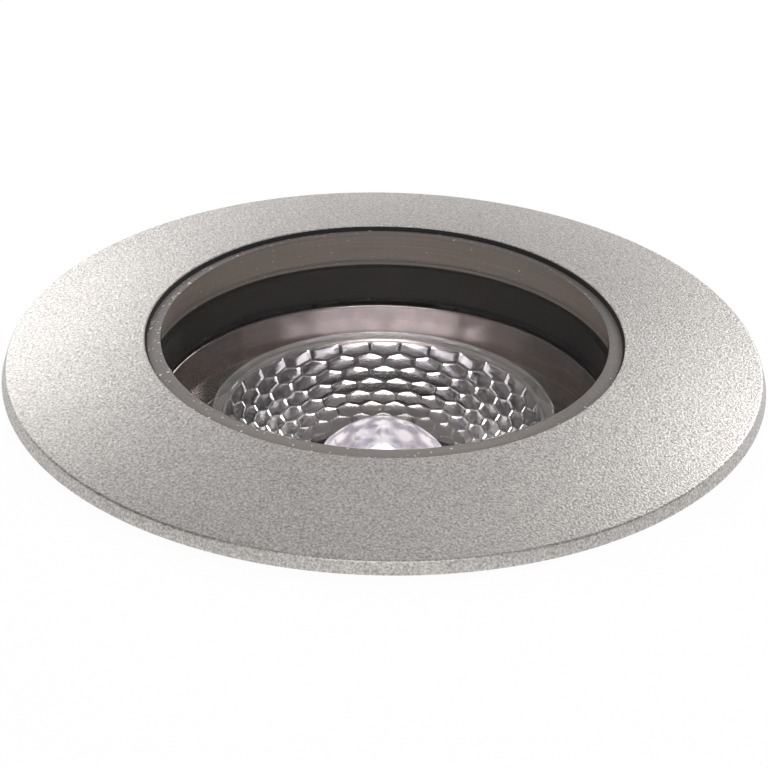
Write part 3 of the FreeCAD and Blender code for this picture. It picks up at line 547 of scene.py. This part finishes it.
TABLE_OUTLINE = [
    # upright lip and the foot that turns in the canister's seat
    (26.6, -12.15, 0.28), (27.2, -12.15, 0.28), (27.2, -12.9, 0), (31.2, -12.9, 0.1),
    (31.2, -14.3, 0.1), (28.8, -14.3, 0.1),
    # floor round the lamp
    (28.8, -18.4, 0.1), (23.2, -18.4, 0.1), (23.2, -16.9, 0.1), (26.6, -16.9, 0.3),
]
TABLE_PARTS = 320
EAR_IN, EAR_OUT = 24.2, 26.8
EAR_R = 4.5
EAR_TOP = -18.4
EAR_STEPS = 24
PIVOT_Z = -22.0
PIVOT_R = 1.5


def ear(mesh, hand):
    """Plate with a round end under the ring, drilled for the pivot pin."""
    around_hole = []
    outer = []
    for k in range(EAR_STEPS):
        a = 2 * math.pi * k / EAR_STEPS
        across, up = math.cos(a), math.sin(a)
        around_hole.append((PIVOT_R * across, PIVOT_Z + PIVOT_R * up))
        if up < 1e-6:
            outer.append((EAR_R * across, PIVOT_Z + EAR_R * up))
        else:
            reach = min(1 / max(abs(across), 1e-6), (EAR_TOP - PIVOT_Z) / EAR_R / up)
            outer.append((EAR_R * across * reach, PIVOT_Z + EAR_R * up * reach))
    loops = []
    for x, points in (
        (EAR_IN, around_hole), (EAR_IN, outer), (EAR_OUT, outer), (EAR_OUT, around_hole),
    ):
        loops.append([mesh.verts.new((hand * x * MM, y * MM, z * MM)) for y, z in points])
    for i in range(4):
        a, b = loops[i], loops[(i + 1) % 4]
        for k in range(EAR_STEPS):
            m = (k + 1) % EAR_STEPS
            mesh.faces.new((a[k], a[m], b[m], b[k]))


table = bmesh.new()
turned_skin(table, arc_corners(TABLE_OUTLINE, 0.1), TABLE_PARTS)
ear(table, 1)
ear(table, -1)
piece_from(
    "turned_table", table, "turntable_body", "turntable",
    [satin_aluminium()],
)


# ---- Lens ----
# Clear moulded acrylic: a flange, a bowl whose flank is a honeycomb of small
# raised facets, and a hollow with a domed roof over the light source.
LENS_R = 20.4
LENS_TOP = -12.25
FACE_Z = -12.6
FLANGE_IN = 18.6
FLANK_TOP = -13.95
LENS_FOOT = -35.35
FLANK_R = 19.2
FOOT_R = 9.9
FLANK_BOW = 0.55
CELLS = 32
CELL_ROWS = 9
CELL_RISE = 0.1
CELL_GROOVE = 0.05
CELL_LEVELS = (1.0, 0.92, 0.7, 0.45, 0.2)
SLANTS_IN_ROW = 6
EDGE_STEPS = 4
POCKET_R = 8.2
DOME_R = 7.2
DOME_FOOT = -24.3
DOME_TOP = -14.6
DOME_LEVELS = 40
DOME_CELL = 2.6
DOME_RISE = 0.3
HEX_WAYS = ((1.0, 0.0), (0.5, 0.866), (-0.5, 0.866))
CLEAR, ETCHED, FACETED, FLANGE = range(4)


def flank_radius(t):
    """Radius of the bowl at the share t of its height, from the top down."""
    return FOOT_R + (FLANK_R - FOOT_R) * max(1 - t, 0.0) ** FLANK_BOW


def row_borders(steps=600):
    """Shares of the height at which rows meet, so that cells are as high as wide."""
    reach = [0.0]
    for i in range(steps):
        a = flank_radius(i / steps)
        b = flank_radius((i + 1) / steps)
        slant = math.hypot(a - b, (FLANK_TOP - LENS_FOOT) / steps)
        reach.append(reach[-1] + slant / ((a + b) / 2))
    borders = []
    k = 0
    for row in range(CELL_ROWS + 1):
        while reach[k] < reach[-1] * row / CELL_ROWS - 1e-9:
            k += 1
        borders.append(k / steps)
    return borders


def lens_mesh():
    """Honeycomb flank first, then flange, face and pocket, and the domed roof last."""
    mesh = bmesh.new()
    kept = {}

    def corner(x, y, z):
        key = (round(x, 4), round(y, 4), round(z, 4))
        if key not in kept:
            kept[key] = mesh.verts.new((x * MM, y * MM, z * MM))
        return kept[key]

    def on_flank(i, t, lift=0.0):
        a = math.pi / CELLS * i
        r = flank_radius(t) + lift
        return corner(r * math.cos(a), r * math.sin(a), FLANK_TOP + (LENS_FOOT - FLANK_TOP) * t)

    borders = row_borders()
    zigzag = []
    for row, t in enumerate(borders):
        shift = 0.0
        if 0 < row < CELL_ROWS:
            shift = min(t - borders[row - 1], borders[row + 1] - t) / SLANTS_IN_ROW
        zigzag.append((t, shift))

    def ring_t(row, i):
        t, shift = zigzag[row]
        return t + (shift if (i + row) % 2 else -shift)

    for row in range(CELL_ROWS):
        middle = (borders[row] + borders[row + 1]) / 2
        for j in range(CELLS):
            i = 2 * j + row % 2
            # each cell: six corners, its edges divided, then smaller loops up to the middle
            hexagon = [(i + d, ring_t(row + 1, i + d)) for d in (-1, 0, 1)]
            hexagon += [(i + d, ring_t(row, i + d)) for d in (1, 0, -1)]
            outer = []
            for n in range(6):
                a, b = hexagon[n], hexagon[(n + 1) % 6]
                for k in range(EDGE_STEPS):
                    f = k / EDGE_STEPS
                    outer.append((a[0] + (b[0] - a[0]) * f, a[1] + (b[1] - a[1]) * f))
            loops = []
            for level, s in enumerate(CELL_LEVELS):
                rise = CELL_RISE * (1 - s * s) + (CELL_GROOVE if level else 0.0)
                loops.append([
                    on_flank(i + (u - i) * s, middle + (t - middle) * s, rise) for u, t in outer
                ])
            centre = on_flank(i, middle, CELL_RISE + CELL_GROOVE)
            count = len(outer)
            for low, high in zip(loops, loops[1:]):
                for k in range(count):
                    m = (k + 1) % count
                    mesh.faces.new((low[k], low[m], high[m], high[k]))
            for k in range(count):
                mesh.faces.new((loops[-1][k], loops[-1][(k + 1) % count], centre))

    facets = len(mesh.faces)
    steps = 2 * CELLS * EDGE_STEPS

    def round_points(r):
        for k in range(steps):
            a = 2 * math.pi * k / steps
            yield r * math.cos(a), r * math.sin(a)

    def ring(r, z):
        return [corner(x, y, z) for x, y in round_points(r)]

    def skin(rings, tip=None):
        for low, high in zip(rings, rings[1:]):
            for k in range(steps):
                m = (k + 1) % steps
                mesh.faces.new((low[k], low[m], high[m], high[k]))
        if tip:
            for k in range(steps):
                mesh.faces.new((rings[-1][k], rings[-1][(k + 1) % steps], tip))

    upper = [
        # flank's top, flange with rounded edge, step down to the flat face
        (FLANK_R, FLANK_TOP), (20.3, FLANK_TOP), (LENS_R, -13.85), (LENS_R, -12.5),
        (20.33, -12.33), (20.2, -12.26), (20.0, LENS_TOP), (18.95, LENS_TOP),
        (18.8, -12.4), (18.65, FACE_Z), (18.5, FACE_Z), (18.3, FACE_Z),
    ]
    skin([ring(r, z) for r, z in upper], corner(0, 0, FACE_Z))
    skin([ring(FOOT_R, LENS_FOOT), ring(POCKET_R, LENS_FOOT), ring(DOME_R, DOME_FOOT)])
    plain = len(mesh.faces)

    def on_dome(x, y):
        reach = min(math.sqrt(x * x + y * y) / DOME_R, 1.0)
        nearest = max(math.cos(2 * math.pi * (x * u + y * v) / DOME_CELL) for u, v in HEX_WAYS)
        rise = DOME_RISE * (nearest - 1.0) * (1 - reach ** 6)
        return corner(x, y, DOME_TOP - (DOME_TOP - DOME_FOOT) * reach ** 2 + rise)

    rings = [ring(DOME_R, DOME_FOOT)]
    for level in range(1, DOME_LEVELS):
        r = DOME_R * (1 - level / DOME_LEVELS)
        rings.append([on_dome(x, y) for x, y in round_points(r)])
    skin(rings, on_dome(0, 0))
    mesh.faces.ensure_lookup_table()
    for face in mesh.faces[:facets]:
        face.material_index = FACETED
    for face in mesh.faces[facets:plain]:
        middle = face.calc_center_median()
        if middle.z > FLANK_TOP * MM - 1e-6 and middle.xy.length > FLANGE_IN * MM:
            face.material_index = FLANGE
    for face in mesh.faces[plain:]:
        face.material_index = ETCHED
    return mesh


ACRYLIC_INDEX = 1.49
ACRYLIC_TINT = (0.97, 0.94, 0.925)
DIM_WHITE = (0.48, 0.47, 0.53, 1.0)


def etched_roof():
    """The roof over the light source: moulded dull, so that it glows all over."""
    paint = Paint("etched_acrylic")
    at = paint.place()
    turn = 2 * math.pi / (DOME_CELL * MM)
    waves = []
    for u, v in HEX_WAYS:
        along = paint.node(
            "ShaderNodeVectorMath", {"operation": "DOT_PRODUCT"},
            {0: at, 1: (u * turn, v * turn, 0.0)}, out=1,
        )
        waves.append(along.math("COSINE"))
    hexagons = (sum(waves[1:], waves[0]) * 0.4 + 0.5).clamped()
    blots = ((paint.noise(620.0, 1.0, at=at) - 0.56) * 9.0).clamped()
    facet = (hexagons - blots * 0.7).clamped()
    clear = paint.node("ShaderNodeBsdfPrincipled", inputs={
        "Base Color": WHITE,
        "Roughness": 0.12,
        "IOR": ACRYLIC_INDEX,
        "Transmission Weight": 1.0,
    })
    dim = paint.node("ShaderNodeBsdfTranslucent", inputs={"Color": DIM_WHITE})
    bright = paint.node("ShaderNodeBsdfTranslucent", inputs={"Color": WHITE})
    milky = paint.mix(facet, dim, bright)
    return paint.output(paint.mix(0.78 + facet * 0.16, clear, milky))


LENS_FINISHES = [
    polished_glass("clear_acrylic", ACRYLIC_INDEX, ACRYLIC_TINT),
    etched_roof(),
    polished_glass("facet_acrylic", ACRYLIC_INDEX, ACRYLIC_TINT, 0.13),
    polished_glass("flange_acrylic", ACRYLIC_INDEX, ACRYLIC_TINT, 0.04, 0.16),
]
piece_from(
    "honeycomb_lens", lens_mesh(), "optic_body", "lens", LENS_FINISHES, 28.0
)


# ---- Light source ----
# A white ceramic package with a round lit surface, soldered on a white
# lacquered aluminium board with a plug for the leads.
LIT_R = 5.4 * MM
GLOW = 16.5


def lit_surface():
    """Warm white in the middle, violet at the rim where the coating thins out."""
    paint = Paint("lit_surface")
    grain = paint.noise(2500.0, 2.0, 0.6)
    radius = from_axis(paint, paint.place())[1]
    rim = ((radius - LIT_R) * 900.0).clamped()
    violet = (rim * 0.8 + grain * 0.2).clamped()
    shader = paint.node("ShaderNodeBsdfPrincipled", inputs={
        "Base Color": (0.9, 0.85, 0.6, 1),
        "Roughness": 0.3,
        "Emission Color": paint.tint(violet, (1.0, 0.93, 0.85), (0.66, 0.60, 1.0)),
        "Emission Strength": GLOW,
    })
    return paint.output(shader)


def plain_coat(name, dark, light, rough, scale=900.0, metal=0.0, relief=0.2, depth=0.04 * MM):
    """A finish with a little mottling, its roughness and relief from fine grain."""
    paint = Paint(name)
    grain = paint.noise(scale, 3.0, 0.6)
    shader = paint.node("ShaderNodeBsdfPrincipled", inputs={
        "Base Color": paint.tint(grain, dark, light),
        "Roughness": rough + grain * 0.12,
        "Metallic": metal,
        "Normal": paint.bump(paint.noise(scale * 3), relief, depth),
    })
    return paint.output(shader)


def coat(material, *names):
    """Gives the material to CAD pieces that are shown as they were built."""
    for name in names:
        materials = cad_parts[name].data.materials
        materials.clear()
        materials.append(material)


coat(lit_surface(), "led_emitter")
coat(plain_coat("package_ceramic", (0.72, 0.72, 0.70), (0.84, 0.84, 0.82), 0.4), "led_package")
coat(plain_coat("board_white", (0.70, 0.70, 0.69), (0.82, 0.82, 0.81), 0.35), "led_board")
coat(
    plain_coat("white_nylon", (0.66, 0.65, 0.60), (0.78, 0.77, 0.73), 0.45),
    "board_connector", "driver_standoffs",
)


# ---- Lens holder, cradle and heat sink ----
# Black moulded holder with three legs; bent aluminium strap; turned and sawn
# aluminium heat sink, with a soft grey sheet between it and the board.
coat(
    plain_coat("black_plastic", (0.012, 0.012, 0.013), (0.022, 0.022, 0.023), 0.45, 1200.0),
    "lens_holder", "driver_cover",
)
coat(
    plain_coat("sheet_aluminium", (0.50, 0.50, 0.50), (0.62, 0.62, 0.62), 0.34, 500.0, 1.0),
    "cradle",
)
coat(
    plain_coat("sawn_aluminium", (0.40, 0.40, 0.41), (0.52, 0.52, 0.53), 0.38, 700.0, 1.0),
    "heat_sink",
)
coat(plain_coat("grey_sheet", (0.28, 0.28, 0.30), (0.36, 0.36, 0.38), 0.6), "heat_sheet")


# ---- Screws and pivot pins ----
# Small bright stainless steel parts: the screws of the board, the cover, the
# driver and the cap, and the two pins that the lamp tilts on.
coat(
    plain_coat("screw_steel", (0.42, 0.41, 0.40), (0.58, 0.57, 0.56), 0.25, 1500.0, 1.0),
    "board_screws", "cover_screws", "driver_screws", "cap_screws", "pivot_pins",
)


# ---- Housing and base cap ----
# Die-cast aluminium canister with a grey skin from the mould, its collar and
# foot turned bright; the cap is cast too and held by screws.
COLLAR_Z = -13.8 * MM
CAP_Z = -81.5 * MM


def cast_aluminium():
    """Sand-like casting skin; the collar, the steps and the foot are turned bright."""
    paint = Paint("cast_aluminium")
    at = paint.place()
    pits = paint.noise(1900.0, 2.0, 0.6, at)
    cloud = paint.noise(70.0, 3.0, 0.6, at)
    height = paint.axis(at, "Z")
    turned = (height > COLLAR_Z).math("MAXIMUM", height * -1.0 > -CAP_Z)
    lines = paint.node(
        "ShaderNodeTexNoise", {"noise_dimensions": "1D"}, {"W": height * 9000.0, "Detail": 2.0}
    )
    skin = (pits * 0.5 + cloud * 0.5).clamped()
    dull = paint.tint(skin, (0.20, 0.20, 0.205), (0.40, 0.40, 0.405))
    bright = paint.tint(lines, (0.42, 0.42, 0.425), (0.62, 0.62, 0.625))
    shader = paint.node("ShaderNodeBsdfPrincipled", inputs={
        "Base Color": paint.tint(turned, dull, bright),
        "Metallic": 0.9,
        "Roughness": 0.56 - turned * 0.26 + pits * 0.1,
        "Normal": paint.bump(pits * (1.0 - turned) + lines * turned * 0.3, 0.6, 0.12 * MM),
    })
    return paint.output(shader)


coat(cast_aluminium(), "housing", "base_cap")


# ---- Grip rings, seals and pad ----
# Moulded rubber rings round the canister and in the cover's hole, soft black
# seals in their grooves, and a foam pad under the flange.
coat(black_rubber("grip_rubber", 0.022), "grip_rings", "cover_grommet")
coat(silicone, "trim_oring", "cap_oring", "gland_washer", "gland_seal")
coat(
    plain_coat(
        "foam_pad", (0.018, 0.018, 0.018), (0.035, 0.035, 0.035), 0.85, 2600.0,
        relief=0.6, depth=0.1 * MM,
    ),
    "flange_pad",
)


# ---- Snap ring and washers ----
# Spring steel ring that keeps the turntable in its seat, and white slippery
# plastic washers that it and the pivots rub on.
coat(
    plain_coat("spring_steel", (0.30, 0.30, 0.30), (0.44, 0.44, 0.44), 0.32, metal=1.0),
    "snap_ring",
)
coat(
    plain_coat("slip_plastic", (0.70, 0.70, 0.67), (0.82, 0.82, 0.79), 0.5),
    "slip_washer", "friction_washers",
)


# ---- Cable gland ----
# Turned brass, nickel plated; the nut presses a seal round the cable, which
# enters through the middle of the cap.
coat(
    plain_coat("plated_brass", (0.34, 0.32, 0.28), (0.50, 0.475, 0.42), 0.24, 700.0, 1.0),
    "gland_body", "gland_nut",
)


# ---- Driver ----
# Green lacquered board with a drum choke, two cans, black chips and grey
# screw terminals, held on standoffs under the cover.
coat(plain_coat("board_green", (0.015, 0.10, 0.045), (0.03, 0.15, 0.07), 0.3), "driver_board")
coat(plain_coat("ferrite", (0.035, 0.035, 0.038), (0.06, 0.06, 0.065), 0.5), "choke_core")
coat(
    plain_coat("copper_wire", (0.42, 0.16, 0.06), (0.62, 0.27, 0.12), 0.3, 2500.0, 1.0),
    "choke_winding",
)
coat(plain_coat("can_sleeve", (0.02, 0.02, 0.035), (0.035, 0.035, 0.055), 0.3), "capacitors")
coat(plain_coat("chip_black", (0.015, 0.015, 0.015), (0.03, 0.03, 0.03), 0.5), "driver_chips")
coat(plain_coat("terminal_grey", (0.33, 0.34, 0.35), (0.42, 0.43, 0.44), 0.45), "terminals")
